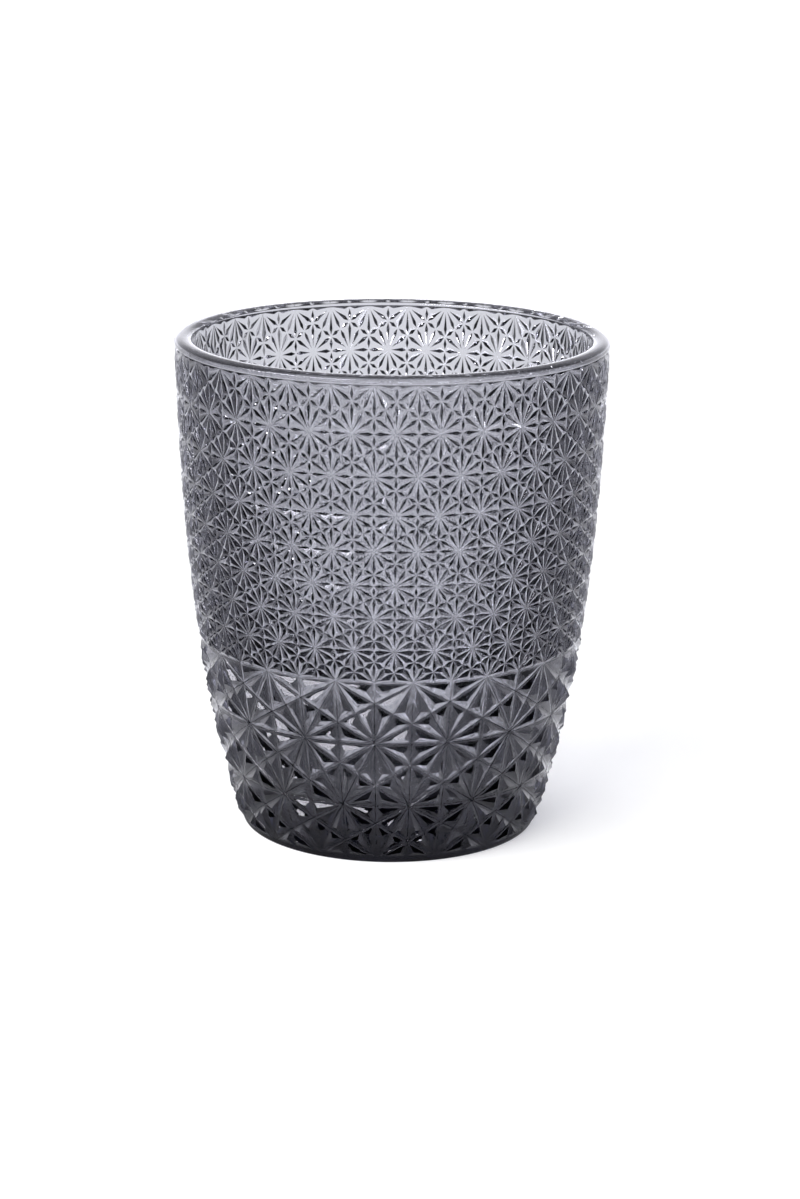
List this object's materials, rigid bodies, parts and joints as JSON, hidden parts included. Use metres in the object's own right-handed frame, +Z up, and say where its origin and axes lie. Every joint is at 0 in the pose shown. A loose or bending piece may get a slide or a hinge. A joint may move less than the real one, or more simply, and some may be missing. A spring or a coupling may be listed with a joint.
{
  "type": "water glass",
  "caption": "Smoked grey pressed glass tumbler with a smooth lip, linked star relief in two sizes, a thick floor and a narrow standing ring.",
  "frame": {"origin": "centre of the standing ring, on the surface the glass stands on", "axes": "+Z up along the glass's axis, towards the mouth; -Y faces the viewer"},
  "size_m": [0.0866, 0.0866, 0.1005],
  "materials": {
    "smoked_glass": "smooth fire-polished smoked grey glass"
  },
  "bodies": {
    "root": {"lip": "smoked_glass", "fine_star_wall": "smoked_glass", "coarse_star_wall": "smoked_glass", "base": "smoked_glass"}
  },
  "joints": []
}
